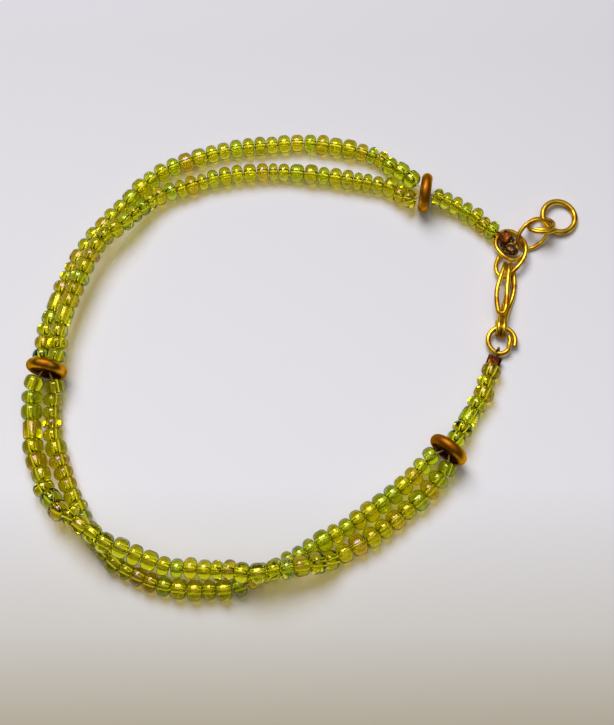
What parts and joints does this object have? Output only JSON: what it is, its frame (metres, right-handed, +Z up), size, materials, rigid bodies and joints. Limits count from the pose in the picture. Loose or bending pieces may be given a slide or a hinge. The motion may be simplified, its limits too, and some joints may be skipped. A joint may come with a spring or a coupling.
{
  "type": "beaded anklet",
  "caption": "Anklet of two strands of translucent lime glass seed beads through brass disc spacers, closed by a bent wire hook and jump rings.",
  "frame": {"origin": "middle of the anklet's box, on the surface that it lies on", "axes": "+Z up from the surface, +X towards the clasp, +Y towards the extension rings' end of the clasp"},
  "size_m": [0.0942, 0.0822, 0.0069],
  "materials": {
    "lime_glass": "glossy translucent lime glass with a rainbow lustre",
    "thread": "twisted beading thread",
    "knot_thread": "dark brown waxed thread, wound into a knot",
    "brass_wire": "bright drawn wire",
    "brass_disc": "satin, slightly browned",
    "brown_crimp": "antique brown, burnished on its edges"
  },
  "bodies": {
    "root": {"strand_far_outer": "lime_glass", "strand_far_inner": "lime_glass", "strand_near_over": "lime_glass", "strand_near_under": "lime_glass", "tail_top": "lime_glass", "tail_bottom": "lime_glass", "spacer_top": "brass_disc", "spacer_left": "brass_disc", "spacer_bottom": "brass_disc", "crimp_top": "brown_crimp", "crimp_bottom": "brown_crimp", "ring_clasp": "brass_wire", "ring_link": "brass_wire", "ring_coil": "brass_wire", "ring_end": "brass_wire", "ring_hook": "brass_wire", "hook": "brass_wire"}
  },
  "joints": []
}
